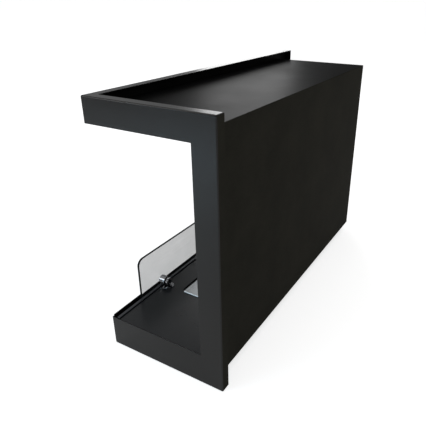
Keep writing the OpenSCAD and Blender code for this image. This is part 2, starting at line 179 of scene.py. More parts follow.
def vector(tree, x=0.0, y=0.0, z=0.0):
    return add(tree, "ShaderNodeCombineXYZ", {0: x, 1: y, 2: z}).outputs[0]


def vector_product(tree, a, b):
    return add(tree, "ShaderNodeVectorMath", {0: a, 1: b}, operation="MULTIPLY").outputs[0]


def map_range(tree, value, low, high, to_low, to_high):
    limits = {"From Min": low, "From Max": high, "To Min": to_low, "To Max": to_high}
    return add(tree, "ShaderNodeMapRange", {"Value": value, **limits}).outputs[0]


def between(tree, value, low, high):
    """Value of -0.5 to 0.5 turned into one of low to high."""
    return map_range(tree, value, -0.5, 0.5, low, high)


def object_place(tree):
    return add(tree, "ShaderNodeTexCoord").outputs["Object"]


def noise(tree, place, scale, detail, roughness, distortion=0.0):
    """Fractal noise, about 0.5."""
    shape = {"Scale": scale, "Detail": detail, "Roughness": roughness, "Distortion": distortion}
    return add(tree, "ShaderNodeTexNoise", {"Vector": place, **shape}).outputs["Fac"]


def centred(tree, value):
    """Noise stretched to about -0.5 to 0.5."""
    return map_range(tree, value, 0.3, 0.7, -0.5, 0.5)


# Shared effects of the finishes

def make_coat_texture():
    """Fine pebbled skin of a powder coat, with slow changes of tone and gloss."""
    group, given, out = new_effect(
        "Coat texture",
        [("Pebble Size", "NodeSocketFloat", 1.2 * MM), ("Patch Size", "NodeSocketFloat", 90.0 * MM)],
        ["Height", "Tone", "Gloss"])
    place = object_place(group)
    pebble_scale = math_node(group, "DIVIDE", 1.0, given.outputs["Pebble Size"])
    patch_scale = math_node(group, "DIVIDE", 1.0, given.outputs["Patch Size"])
    pebbles = noise(group, place, pebble_scale, detail=2.5, roughness=0.55)
    patches = noise(group, place, patch_scale, detail=4.0, roughness=0.6)
    cells = add(group, "ShaderNodeTexVoronoi", {"Vector": place, "Scale": pebble_scale, "Randomness": 1.0},
                feature="SMOOTH_F1").outputs["Distance"]
    fine = centred(group, pebbles)
    slow = centred(group, patches)
    fill(group, out, {
        "Height": math_node(group, "SUBTRACT", pebbles, scaled(group, cells, 0.35)),
        "Tone": summed(group, scaled(group, fine, 0.7), slow),
        "Gloss": summed(group, scaled(group, fine, 0.3), slow),
    })
    return group


def make_dust_film():
    """Thin film of dust that lies on surfaces that face up."""
    group, given, out = new_effect(
        "Dust film",
        [("Amount", "NodeSocketFloat", 0.3), ("Patch Size", "NodeSocketFloat", 50.0 * MM)],
        ["Dust"])
    normal = add(group, "ShaderNodeNewGeometry").outputs["Normal"]
    up = add(group, "ShaderNodeSeparateXYZ", {0: normal}).outputs["Z"]
    scale = math_node(group, "DIVIDE", 1.0, given.outputs["Patch Size"])
    patches = noise(group, object_place(group), scale, detail=6.0, roughness=0.7)
    lying = map_range(group, up, 0.6, 1.0, 0.0, 1.0)
    uneven = map_range(group, patches, 0.35, 0.75, 0.25, 1.0)
    fill(group, out, {"Dust": scaled(group, scaled(group, lying, uneven), given.outputs["Amount"])})
    return group


def make_brushed_grain():
    """Straight brushing lines, long along the axis that has the small stretch."""
    group, given, out = new_effect(
        "Brushed grain",
        [("Stretch", "NodeSocketVector", (20.0, 2500.0, 2500.0))],
        ["Height", "Tone", "Gloss"])
    drawn = vector_product(group, object_place(group), given.outputs["Stretch"])
    wider = vector_product(group, drawn, (0.31, 0.31, 0.31))
    lines = noise(group, drawn, 1.0, detail=3.0, roughness=0.6)
    bands = noise(group, wider, 1.0, detail=2.0, roughness=0.5)
    fine = centred(group, lines)
    slow = centred(group, bands)
    fill(group, out, {
        "Height": lines,
        "Tone": summed(group, fine, scaled(group, slow, 0.6)),
        "Gloss": summed(group, slow, scaled(group, fine, 0.4)),
    })
    return group


def make_handling_haze():
    """Faint smears left by handling."""
    group, given, out = new_effect(
        "Handling haze",
        [("Smear Size", "NodeSocketFloat", 20.0 * MM)],
        ["Haze"])
    scale = math_node(group, "DIVIDE", 1.0, given.outputs["Smear Size"])
    smears = noise(group, object_place(group), scale, detail=5.0, roughness=0.6, distortion=1.2)
    fill(group, out, {"Haze": map_range(group, smears, 0.4, 0.75, 0.0, 1.0)})
    return group


COAT_TEXTURE = make_coat_texture()
DUST_FILM = make_dust_film()
BRUSHED_GRAIN = make_brushed_grain()
HANDLING_HAZE = make_handling_haze()


# Finishes

def new_finish(name, plain_colour):
    """Material with a principled surface, and a plain colour for the viewport."""
    finish = bpy.data.materials.new(name)
    finish.use_nodes = True
    finish.diffuse_color = (*plain_colour, 1.0)
    tree = finish.node_tree
    surface = next(n for n in tree.nodes if n.type == "BSDF_PRINCIPLED")
    return finish, tree, surface


def placed(tree, effect, inputs):
    """Outputs of a shared effect that is used in a material."""
    return add(tree, "ShaderNodeGroup", inputs, node_tree=effect).outputs


def toned(tree, colour, tone, spread):
    """Colour that gets lighter and darker with a tone of -0.5 to 0.5."""
    factor = between(tree, tone, 1.0 - spread, 1.0 + spread)
    return vector_product(tree, colour, vector(tree, factor, factor, factor))


def dusted(tree, paint, film, dust):
    """Paint under a film of dust."""
    mixed = add(tree, "ShaderNodeMix", {"Factor": film, "A": paint, "B": dust}, data_type="RGBA")
    return mixed.outputs["Result"]


def bumped(tree, height, strength, depth):
    """Normal of a surface with a fine relief."""
    relief = {"Strength": strength, "Distance": depth, "Height": height}
    return add(tree, "ShaderNodeBump", relief).outputs[0]


def clear_where(tree, surface, mask, tint):
    """Makes a surface clear, with a tint, where a mask of rays or sides is 1."""
    clear = add(tree, "ShaderNodeBsdfTransparent", {"Color": tint}).outputs[0]
    either = add(tree, "ShaderNodeMixShader", {0: mask, 1: surface.outputs[0], 2: clear})
    output = next(n for n in tree.nodes if n.type == "OUTPUT_MATERIAL")
    fill(tree, output, {"Surface": either.outputs[0]})


def make_coat(name, colour, rough, specular, pebble, dust=0.0):
    """Black powder coat."""
    finish, tree, surface = new_finish(name, colour)
    skin = placed(tree, COAT_TEXTURE, {"Pebble Size": pebble})
    film = placed(tree, DUST_FILM, {"Amount": dust})["Dust"]
    paint = toned(tree, colour, skin["Tone"], spread=0.22)
    bare_rough = between(tree, skin["Gloss"], rough - 0.03, rough + 0.03)
    fill(tree, surface, {
        "Base Color": dusted(tree, paint, film, dust=(0.16, 0.155, 0.15, 1.0)),
        "Roughness": summed(tree, bare_rough, scaled(tree, film, 0.25), clamp=True),
        "Normal": bumped(tree, skin["Height"], strength=0.25, depth=0.15 * MM),
        "Specular IOR Level": specular,
    })
    return finish


def make_brushed(name, colour, rough, stretch):
    """Brushed steel."""
    finish, tree, surface = new_finish(name, colour)
    grain = placed(tree, BRUSHED_GRAIN, {"Stretch": stretch})
    haze = placed(tree, HANDLING_HAZE, {"Smear Size": 30.0 * MM})["Haze"]
    clean_rough = between(tree, grain["Gloss"], rough - 0.08, rough + 0.08)
    fill(tree, surface, {
        "Base Color": toned(tree, colour, grain["Tone"], spread=0.16),
        "Roughness": summed(tree, clean_rough, scaled(tree, haze, 0.08), clamp=True),
        "Normal": bumped(tree, grain["Height"], strength=0.2, depth=0.05 * MM),
        "Metallic": 1.0,
    })
    return finish


def make_chrome():
    """Polished chrome plate with faint handling marks."""
    finish, tree, surface = new_finish("Chrome plate", (0.7, 0.72, 0.74))
    haze = placed(tree, HANDLING_HAZE, {"Smear Size": 6.0 * MM})["Haze"]
    fill(tree, surface, {
        "Base Color": toned(tree, (0.5, 0.51, 0.53), math_node(tree, "SUBTRACT", haze, 0.5), spread=0.05),
        "Roughness": map_range(tree, haze, 0.0, 1.0, 0.02, 0.08),
        "Metallic": 1.0,
    })
    return finish


def make_silicone():
    """Matt black silicone with a trace of dust."""
    colour = (0.01, 0.0105, 0.011)
    finish, tree, surface = new_finish("Black silicone", colour)
    skin = placed(tree, COAT_TEXTURE, {"Pebble Size": 0.6 * MM})
    film = placed(tree, DUST_FILM, {"Amount": 0.03})["Dust"]
    rubber = toned(tree, colour, skin["Tone"], spread=0.25)
    fill(tree, surface, {
        "Base Color": dusted(tree, rubber, film, dust=(0.2, 0.2, 0.2, 1.0)),
        "Roughness": between(tree, skin["Gloss"], 0.6, 0.8),
        "Specular IOR Level": 0.2,
    })
    return finish


def make_glass():
    """Clear toughened pane, faintly grey, with a few smears; light passes straight through it."""
    finish, tree, surface = new_finish("Toughened glass", (0.75, 0.78, 0.78))
    haze = placed(tree, HANDLING_HAZE, {"Smear Size": 70.0 * MM})["Haze"]
    fill(tree, surface, {
        "Base Color": toned(tree, (0.53, 0.53, 0.53), math_node(tree, "SUBTRACT", 0.5, haze), spread=0.05),
        "Roughness": map_range(tree, haze, 0.0, 1.0, 0.0, 0.03),
        "Transmission Weight": 1.0,
        "IOR": 1.5,
    })
    rays = add(tree, "ShaderNodeLightPath").outputs
    passing = math_node(tree, "MAXIMUM", rays["Is Shadow Ray"], rays["Is Diffuse Ray"])
    clear_where(tree, surface, passing, tint=(0.75, 0.76, 0.76, 1.0))
    return finish


def make_glass_edge():
    """Ground edge of the pane: dark from outside, clear when seen through the pane itself."""
    finish, tree, surface = new_finish("Ground glass edge", (0.02, 0.026, 0.026))
    skin = placed(tree, COAT_TEXTURE, {"Pebble Size": 0.5 * MM, "Patch Size": 30.0 * MM})
    fill(tree, surface, {
        "Base Color": toned(tree, (0.004, 0.005, 0.005), skin["Tone"], spread=0.3),
        "Roughness": between(tree, skin["Gloss"], 0.25, 0.45),
        "Specular IOR Level": 0.12,
    })
    inside = add(tree, "ShaderNodeNewGeometry").outputs["Backfacing"]
    clear_where(tree, surface, inside, tint=(0.9, 0.92, 0.92, 1.0))
    return finish


def make_ceramic():
    """Porous ceramic that soaks up the fuel."""
    colour = (0.66, 0.62, 0.54)
    finish, tree, surface = new_finish("Ceramic wick", colour)
    skin = placed(tree, COAT_TEXTURE, {"Pebble Size": 2.2 * MM, "Patch Size": 30.0 * MM})
    fill(tree, surface, {
        "Base Color": toned(tree, colour, skin["Tone"], spread=0.2),
        "Roughness": between(tree, skin["Gloss"], 0.8, 0.95),
        "Normal": bumped(tree, skin["Height"], strength=0.8, depth=0.8 * MM),
    })
    return finish


FLANGE_COAT = make_coat("Satin flange coat", (0.0068, 0.0058, 0.005), rough=0.24, specular=0.33,
                        pebble=0.9 * MM)
# Lit and shaded copies of one black paint: the darker satin copy is painted shade on the casing's top and
# on the flange's inward faces.
SHADED_TOP_COAT = make_coat("Shaded satin casing coat", (0.006, 0.006, 0.006), rough=0.37, specular=0.013,
                     pebble=1.2 * MM)
# The matt copy also stands in as painted shade on the flange's rear returns.
CASING_AND_SHADE_COAT = make_coat("Matt casing and shade coat", (0.022, 0.021, 0.0165), rough=0.62, specular=0.015,
                        pebble=1.2 * MM)
LINER_COAT = make_coat("Heatproof liner coat", (0.011, 0.011, 0.011), rough=0.55, specular=0.3,
                       pebble=1.4 * MM, dust=0.05)
FLOOR_COAT = make_coat("Satin floor coat", (0.003, 0.0045, 0.006), rough=0.28, specular=0.45,
                       pebble=1.0 * MM)
# The channel's colour is lighter than the other black coats: a painted highlight that makes its lip read
# as a light line. Its gloss is real.
LIT_CHANNEL_COAT = make_coat("Lit channel coat", (0.028, 0.031, 0.036), rough=0.32, specular=0.5,
                         pebble=0.9 * MM)
STAINLESS = make_brushed("Brushed stainless", (0.41, 0.43, 0.44), rough=0.3,
                         stretch=(18.0, 2600.0, 2600.0))
ZINC = make_brushed("Zinc-plated steel", (0.42, 0.43, 0.43), rough=0.4, stretch=(900.0, 900.0, 900.0))
CHROME = make_chrome()
SILICONE = make_silicone()
GLASS = make_glass()
GLASS_EDGE = make_glass_edge()
CERAMIC = make_ceramic()

# Solids that keep their shape, by finish
KEPT = {
    CASING_AND_SHADE_COAT: ("base_pan", "right_floor_bearer", "left_floor_bearer"),
    LINER_COAT: ("ceiling_liner", "rear_liner", "left_liner"),
    FLOOR_COAT: ("floor_plate",),
    ZINC: ("ceiling_spacers", "rear_spacers", "left_spacers", "clamp_fixing_screws"),
    STAINLESS: ("wick_cover",),
    CERAMIC: ("wick_block",),
    SILICONE: ("right_clamp_pad", "left_clamp_pad"),
}


# Making of meshes

def new_piece(name, mesh, *finishes):
    piece = bpy.data.objects.new(name, mesh)
    bpy.context.scene.collection.objects.link(piece)
    for finish in finishes:
        mesh.materials.append(finish)
    return piece


def settled(piece):
    """Turns a piece's modifiers into plain mesh."""
    bpy.context.view_layer.update()
    graph = bpy.context.evaluated_depsgraph_get()
    mesh = bpy.data.meshes.new_from_object(piece.evaluated_get(graph))
    piece.modifiers.clear()
    old = piece.data
    piece.data = mesh
    bpy.data.meshes.remove(old)
    mesh.name = piece.name
    return piece


def settle_on(piece, body, slot, *node_names):
    """Gives a piece its body and hides the solids that it stands for; the slot argument is not used."""
    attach(piece, body)
    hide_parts(*node_names)
    return piece


def mesh_from(shape, name):
    """Smooth-shaded mesh of a shape that is no longer needed."""
    for face in shape.faces:
        face.smooth = True
    mesh = bpy.data.meshes.new(name)
    shape.to_mesh(mesh)
    shape.free()
    return mesh


def rounded(piece, width, segments, by_weight=False):
    """Rounds a piece's edges and keeps its flat faces flat."""
    bevel = piece.modifiers.new("Rounding", "BEVEL")
    bevel.width = width
    bevel.segments = segments
    bevel.limit_method = "WEIGHT" if by_weight else "ANGLE"
    bevel.angle_limit = EDGE_ANGLE
    bevel.use_clamp_overlap = not by_weight
    settled(piece)
    piece.data.set_sharp_from_angle(angle=ROUNDED_SHARP)
    shading = piece.modifiers.new("Flat faces", "WEIGHTED_NORMAL")
    shading.mode = "FACE_AREA"
    shading.weight = 100
    shading.keep_sharp = True
    return settled(piece)


def join_plates(plates):
    """One closed skin round plates that overlap or touch, each given by its two corners."""
    cuts = [sorted({round(corner[axis], 7) for plate in plates for corner in plate}) for axis in range(3)]
    cells = [list(zip(line, line[1:])) for line in cuts]
    counts = [len(line) for line in cells]
    shape = bmesh.new()
    corners = {}

    def solid(cell):
        if any(not 0 <= cell[axis] < counts[axis] for axis in range(3)):
            return False
        middle = [sum(cells[axis][cell[axis]]) / 2 for axis in range(3)]
        return any(all(low[axis] < middle[axis] < high[axis] for axis in range(3)) for low, high in plates)

    def corner(key):
        if key not in corners:
            corners[key] = shape.verts.new([cuts[axis][key[axis]] for axis in range(3)])
        return corners[key]

    def add_face(cell, axis, side):
        u, v = (axis + 1) % 3, (axis + 2) % 3
        ring = []
        for du, dv in ((0, 0), (1, 0), (1, 1), (0, 1)):
            key = list(cell)
            key[axis] += side
            key[u] += du
            key[v] += dv
            ring.append(corner(tuple(key)))
        shape.faces.new(ring if side else ring[::-1])

    for cell in filter(solid, itertools.product(*map(range, counts))):
        for axis, side in itertools.product(range(3), (0, 1)):
            beside = list(cell)
            beside[axis] += 2 * side - 1
            if not solid(beside):
                add_face(cell, axis, side)
    bmesh.ops.dissolve_limit(shape, angle_limit=0.001, verts=shape.verts, edges=shape.edges)
    return shape


def weigh_edges(shape, radius_of):
    """Gives each outer edge its own rounding; returns the largest one."""
    layer = shape.edges.layers.float.new("bevel_weight_edge")
    radii = {}
    for edge in shape.edges:
        if len(edge.link_faces) == 2 and edge.calc_face_angle_signed(0.0) > EDGE_ANGLE:
            radii[edge] = radius_of(edge)
    largest = max(radii.values())
    for edge, radius in radii.items():
        edge[layer] = radius / largest
    return largest


def on_planes(edge, planes):
    """How many of the given planes an edge lies in."""
    return sum(all(abs(vert.co[axis] - value) < CLOSE for vert in edge.verts) for axis, value in planes)


def sheet_piece(name, plates, planes, fold_radius, rim_radius, finish):
    """Folded sheet metal: edges in two of the planes are folds, the others are cut rims."""
    shape = join_plates(plates)
    largest = weigh_edges(shape, lambda edge: fold_radius if on_planes(edge, planes) > 1 else rim_radius)
    return rounded(new_piece(name, mesh_from(shape, name), finish), largest, segments=4, by_weight=True)


def solid_copy(node_name):
    """Clean copy of a solid of the frame: doubles merged and flat faces whole."""
    shape = bmesh.new()
    shape.from_mesh(NODES[node_name].data)
    bmesh.ops.remove_doubles(shape, verts=shape.verts, dist=CLOSE)
    bmesh.ops.dissolve_limit(shape, angle_limit=0.002, verts=shape.verts, edges=shape.edges)
    return shape


def dressed(name, node_name, body, finish, slot, width, segments=3):
    """Piece with softened edges that stands for a solid."""
    piece = new_piece(name, mesh_from(solid_copy(node_name), name), finish)
    return settle_on(rounded(piece, width, segments), body, slot, node_name)


def turned(name, profile, sides, finish, sharp=TURNED_SHARP):
    """Lathe-turned piece round Z: the profile is (radius, height), from one pole to the other."""
    shape = bmesh.new()
    angles = [2 * math.pi * i / sides for i in range(sides)]
    rings = []
    for radius, height in profile:
        if radius == 0.0:
            rings.append([shape.verts.new((0.0, 0.0, height))])
            continue
        places = [(radius * math.cos(angle), radius * math.sin(angle), height) for angle in angles]
        rings.append([shape.verts.new(place) for place in places])
    for lower, upper in zip(rings, rings[1:]):
        for i in range(sides):
            ring = [lower[i % len(lower)], lower[(i + 1) % len(lower)],
                    upper[(i + 1) % len(upper)], upper[i % len(upper)]]
            shape.faces.new(list(dict.fromkeys(ring)))
    bmesh.ops.recalc_face_normals(shape, faces=shape.faces)
    piece = new_piece(name, mesh_from(shape, name), finish)
    piece.data.set_sharp_from_angle(angle=sharp)
    return piece


# Geometry trees of what repeats

def moved(tree, geometry, **changes):
    """Geometry moved by a Translation or stretched by a Scale."""
    return add(tree, "GeometryNodeTransform", {"Geometry": geometry, **changes}).outputs[0]


def cylinder(tree, sides, radius, depth):
    size = {"Vertices": sides, "Radius": radius, "Depth": depth}
    return add(tree, "GeometryNodeMeshCylinder", size).outputs["Mesh"]


def joined(tree, *pieces):
    whole = add(tree, "GeometryNodeJoinGeometry")
    for piece in pieces:
        tree.links.new(piece, whole.inputs[0])
    return whole.outputs[0]


def realized(tree, instances):
    return add(tree, "GeometryNodeRealizeInstances", {"Geometry": instances}).outputs[0]


def coated(tree, geometry, finish):
    return add(tree, "GeometryNodeSetMaterial", {"Geometry": geometry, "Material": finish}).outputs[0]


def new_geometry_tree(name, sizes):
    """Geometry tree with the given sizes and a finish as its inputs."""
    inputs = [("Geometry", "NodeSocketGeometry", None), *sizes, ("Finish", "NodeSocketMaterial", None)]
    tree, given, out = new_group(name, "GeometryNodeTree", inputs, [("Geometry", "NodeSocketGeometry")])
    return tree, given.outputs, out


def make_screw_tree():
    """Button-head screws with a hexagon socket, one at each point, that face the way the point says."""
    sizes = ("Head Diameter", "Head Height", "Socket Size", "Socket Depth",
             "Shank Diameter", "Shank Length")
    tree, given, out = new_geometry_tree(
        "Button-head screws", [(size, "NodeSocketFloat", 4.0 * MM) for size in sizes])
    half = {size: scaled(tree, given[size], 0.5) for size in sizes}
    ball = add(tree, "GeometryNodeMeshUVSphere", {"Segments": 32, "Rings": 16, "Radius": 1.0})
    dome_size = vector(tree, half["Head Diameter"], half["Head Diameter"], given["Head Height"])
    dome = moved(tree, ball.outputs["Mesh"], Scale=dome_size)
    block = add(tree, "GeometryNodeMeshCube", {"Size": (CUTTER, CUTTER, CUTTER)})
    below = moved(tree, block.outputs["Mesh"], Translation=(0.0, 0.0, -CUTTER / 2))
    key_depth = scaled(tree, given["Socket Depth"], 2.0)
    key = cylinder(tree, sides=6, radius=half["Socket Size"], depth=key_depth)
    key = moved(tree, key, Translation=vector(tree, z=given["Head Height"]))
    cut = add(tree, "GeometryNodeMeshBoolean", {"Mesh 1": dome}, operation="DIFFERENCE", solver="EXACT")
    for tool in (below, key):
        tree.links.new(tool, cut.inputs["Mesh 2"])
    shank = cylinder(tree, sides=16, radius=half["Shank Diameter"], depth=given["Shank Length"])
    shank = moved(tree, shank, Translation=vector(tree, z=scaled(tree, half["Shank Length"], -1.0)))
    screw = joined(tree, cut.outputs["Mesh"], shank)
    facing = add(tree, "GeometryNodeInputNamedAttribute", {"Name": "facing"}, data_type="FLOAT_VECTOR")
    way = facing.outputs["Attribute"]
    turn = add(tree, "FunctionNodeAlignRotationToVector", {"Vector": way}, axis="Z")
    copies = add(tree, "GeometryNodeInstanceOnPoints",
                 {"Points": given["Geometry"], "Instance": screw, "Rotation": turn.outputs[0]}).outputs[0]
    fill(tree, out, {"Geometry": coated(tree, realized(tree, copies), given["Finish"])})
    return tree


def make_knurl_tree():
    """Straight knurl: ribs round a turned head whose axis is Z."""
    tree, given, out = new_geometry_tree(
        "Straight knurl",
        [("Count", "NodeSocketInt", 36), ("Radius", "NodeSocketFloat", 7.8 * MM),
         ("Rib Width", "NodeSocketFloat", 0.8 * MM), ("Rib Length", "NodeSocketFloat", 4.0 * MM),
         ("Rib Height", "NodeSocketFloat", 3.0 * MM)])
    ring = add(tree, "GeometryNodeMeshCircle", {"Vertices": given["Count"], "Radius": given["Radius"]})
    rib = cylinder(tree, sides=8, radius=scaled(tree, given["Rib Width"], 0.5), depth=given["Rib Length"])
    ribs = add(tree, "GeometryNodeInstanceOnPoints", {"Points": ring.outputs["Mesh"], "Instance": rib})
    lift = vector(tree, z=given["Rib Height"])
    lifted = moved(tree, realized(tree, ribs.outputs[0]), Translation=lift)
    fill(tree, out, {"Geometry": coated(tree, joined(tree, given["Geometry"], lifted), given["Finish"])})
    return tree


def grown(piece, tree, values):
    """Runs a geometry tree on a piece, with its inputs set by name, and makes the result plain mesh."""
    modifier = piece.modifiers.new(tree.name, "NODES")
    modifier.node_group = tree
    inputs = [item for item in tree.interface.items_tree if item.in_out == "INPUT"]
    identifiers = {item.name: item.identifier for item in inputs}
    for name, value in values.items():
        modifier[identifiers[name]] = value
    settled(piece)
    for face in piece.data.polygons:
        face.use_smooth = True
    piece.data.set_sharp_from_angle(angle=TURNED_SHARP)
    return piece


SCREW_TREE = make_screw_tree()
KNURL_TREE = make_knurl_tree()


# Flange frame, folded and welded from sheet

def flange_plates():
    """Faces and folded returns of the flange, each by its two corners."""
    low, high = FLANGE_LOW, FLANGE_HIGH
    inner_x, inner_y = high.x - FACE_T, low.y + FACE_T
    plates = [
        ((low.x, low.y, low.z), (high.x, inner_y, FLOOR_Z)),
        ((low.x, low.y, FLOOR_Z), (high.x - CORNER_RELIEF, inner_y, FRONT_SILL_Z)),
        ((low.x, low.y, CEILING_Z), (high.x, inner_y, high.z)),
        ((low.x, low.y, low.z), (HEARTH_LEFT_X, inner_y, high.z)),
        ((inner_x, low.y, low.z), (high.x, high.y, FLOOR_Z)),
        ((inner_x, low.y, CEILING_Z), (high.x, high.y, high.z)),
        ((inner_x, HEARTH_REAR_Y, low.z), (high.x, high.y, high.z)),
        ((low.x, low.y, low.z), (low.x + FACE_T, low.y + RETURN_D, high.z)),
        ((high.x - RETURN_D, high.y - FACE_T, low.z), (high.x, high.y, high.z)),
    ]
    for fold_z in (low.z, high.z - FACE_T):
        plates.append(((low.x, low.y, fold_z), (high.x, low.y + RETURN_D, fold_z + FACE_T)))
        plates.append(((high.x - RETURN_D, low.y, fold_z), (high.x, high.y, fold_z + FACE_T)))
    return plates


def build_flange():
    """Flange with a satin face; what faces back or inwards gets the casing's duller coats, painted shade
    that renders those faces darker.
    """
    planes = [(axis, corner[axis]) for axis in range(3) for corner in (FLANGE_LOW, FLANGE_HIGH)]
    flange = sheet_piece("welded_flange_frame", flange_plates(), planes, FOLD_R, RIM_R, FLANGE_COAT)
    flange.data.materials.append(CASING_AND_SHADE_COAT)
    flange.data.materials.append(SHADED_TOP_COAT)
    # Faces turned back or in take the duller coats only to look darker: painted shade.
    for face in flange.data.polygons:
        turned_back = face.normal.y > FACING
        turned_in = face.normal.x > FACING and face.center.x < FLANGE_LOW.x + 2 * FACE_T
        if turned_in or turned_back and face.center.y < 0.0:
            face.material_index = 2
        elif turned_back:
            face.material_index = 1
    settle_on(flange, "insert", "powder_coat", "front_top_bar", "front_left_post", "front_bottom_bar",
              "side_top_bar", "side_rear_post", "side_bottom_bar")


# Casing: back, top and left end folded together

def build_casing():
    """Casing with a matt coat, and a darker satin copy of it on its top: painted shade."""
    panels = ("back_panel", "top_panel", "left_end_panel")
    left_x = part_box("left_end_panel")[0].x
    rear_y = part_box("back_panel")[1].y
    top_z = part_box("top_panel")[1].z
    planes = [(0, left_x), (1, rear_y), (2, top_z)]
    plates = [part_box(panel) for panel in panels]
    casing = sheet_piece("folded_casing", plates, planes, CASING_FOLD_R, CASING_RIM_R, CASING_AND_SHADE_COAT)
    casing.data.materials.append(SHADED_TOP_COAT)
    for face in casing.data.polygons:
        on_top = face.normal.z > FACING and face.center.z > top_z - TOP_BAND
        # Faces on top get the darker copy of the coat: painted shade.
        face.material_index = 1 if on_top else 0
    settle_on(casing, "insert", "powder_coat", *panels)


def finish_kept_solids():
    for finish, node_names in KEPT.items():
        for node_name in node_names:
            NODES[node_name].data.materials.clear()
            NODES[node_name].data.materials.append(finish)


# Glass channel, gasket and pane

def build_glass():
    """Pane with ground edges, and the channel and gasket that it stands in."""
    # The channel takes the lightened coat: painted highlight along its lip.
    dressed("glass_slot_channel", "glass_channel", "insert", LIT_CHANNEL_COAT, "powder_coat", width=0.5 * MM)
    dressed("slot_gasket", "glass_gasket", "insert", SILICONE, "silicone", width=0.3 * MM, segments=2)
    pane = dressed("ground_glass_pane", "glass_pane", "glass_screen", GLASS, "glass",
                   width=0.6 * MM, segments=2)
    pane.data.materials.append(GLASS_EDGE)
    for face in pane.data.polygons:
        face.material_index = 0 if abs(face.normal.y) > FLAT_FACING else 1


# Screws of the liner, where the solids have theirs

def islands(shape):
    """Sets of vertices that hang together."""
    left = set(shape.verts)
    while left:
        island = set()
        waiting = [next(iter(left))]
        while waiting:
            vert = waiting.pop()
            if vert not in island:
                island.add(vert)
                waiting.extend(edge.other_vert(vert) for edge in vert.link_edges)
        left -= island
        yield island


def screw_places(node_name, facing):
    """Middle of each screw of a node, at its head's base."""
    shape = solid_copy(node_name)
    places = []
    for island in islands(shape):
        low = Vector(min(vert.co[axis] for vert in island) for axis in range(3))
        high = Vector(max(vert.co[axis] for vert in island) for axis in range(3))
        reach = (high - low) / 2
        tip = (low + high) / 2 + Vector(facing[axis] * reach[axis] for axis in range(3))
        places.append(tip - Vector(facing) * LINER_HEAD_H)
    shape.free()
    return sorted(places, key=lambda place: tuple(round(value, 5) for value in place))


def build_liner_screws():
    points = []
    for node_name, facing in LINER_SCREWS.items():
        points += [(place, facing) for place in screw_places(node_name, facing)]
    mesh = bpy.data.meshes.new("liner_screws")
    mesh.from_pydata([place for place, facing in points], [], [])
    ways = mesh.attributes.new("facing", "FLOAT_VECTOR", "POINT")
    ways.data.foreach_set("vector", [value for place, facing in points for value in facing])
    screws = grown(new_piece("liner_screws", mesh), SCREW_TREE, {
        "Head Diameter": LINER_HEAD_D, "Head Height": LINER_HEAD_H,
        "Socket Size": LINER_SOCKET, "Socket Depth": LINER_SOCKET_DEPTH,
        "Shank Diameter": LINER_SHANK_D, "Shank Length": LINER_SHANK_L,
        "Finish": LINER_COAT,
    })
    settle_on(screws, "insert", "powder_coat", *LINER_SCREWS)


# Clamps of the glass

def thumbscrew_profile(length, head_r):
    """Nose, thread rings, and a head with chamfered edges and a shallow dish."""
    head_base = length - THUMB_HEAD_L
    profile = [(0.0, 0.0), (NOSE_R, 0.0), (NOSE_R, NOSE_L), (THUMB_SHANK_R, NOSE_L)]
    for i in range(THREAD_RINGS):
        profile.append((THUMB_SHANK_R - THREAD_DEPTH * (i % 2), THREAD_START + i * THREAD_STEP))
    profile.append((THUMB_SHANK_R, head_base))
    for inset, rise in ((1.3, 0.0), (0.5, 0.6), (0.4, 1.0)):
        profile.append((head_r - inset * MM, head_base + rise * MM))
    for inset, drop in ((0.4, 1.5), (0.5, 1.2), (1.5, 0.15), (1.9, 0.0), (2.3, 0.1), (3.0, 0.5)):
        profile.append((head_r - inset * MM, length - drop * MM))
    profile.append((0.0, length - 0.5 * MM))
    return profile


def build_clamp(side):
    """Clamp body, and its knurled thumbscrew turned to lie along Y."""
    dressed(side + "_clamp_body", side + "_clamp_block", "insert", CHROME, "chrome",
            width=0.8 * MM, segments=4)
    low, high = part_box(side + "_thumbscrew")
    length = high.y - low.y
    head_r = (high.z - low.z) / 2
    screw = turned(side + "_knurled_screw", thumbscrew_profile(length, head_r), THUMB_SIDES, CHROME)
    grown(screw, KNURL_TREE, {
        "Count": KNURL_RIBS, "Radius": head_r - KNURL_INSET,
        "Rib Width": RIB_W, "Rib Length": THUMB_HEAD_L - RIB_MARGIN,
        "Rib Height": length - THUMB_HEAD_L / 2 - KNURL_SHIFT,
        "Finish": CHROME,
    })
    middle = (low + high) / 2
    along_y = Matrix.Rotation(math.radians(-90.0), 4, "X")
    screw.data.transform(Matrix.Translation((middle.x, low.y, middle.z)) @ along_y)
    settle_on(screw, side + "_screw", "chrome", side + "_thumbscrew")


# Burner and its lid

def build_burner():
    """Top plate with a rolled outer edge, tray and guides of the lid."""
    low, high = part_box("burner_top_plate")
    sides = [(axis, corner[axis]) for axis in (0, 1) for corner in (low, high)]

    def rounding(edge):
        outer = on_planes(edge, [(2, high.z)]) > 0 and on_planes(edge, sides) > 0
        return PLATE_EDGE_R if outer else PLATE_RIM_R

    shape = solid_copy("burner_top_plate")
    widest = weigh_edges(shape, rounding)
    plate = new_piece("burner_plate", mesh_from(shape, "burner_plate"), STAINLESS)
    rounded(plate, widest, segments=5, by_weight=True)
    settle_on(plate, "burner", "stainless", "burner_top_plate")
    dressed("fuel_tray", "burner_tray", "burner", STAINLESS, "stainless", width=0.4 * MM, segments=2)
    for end in ("front", "rear"):
        dressed(end + "_guide_rail", end + "_lid_guide", "burner", STAINLESS, "stainless",
                width=0.3 * MM, segments=2)


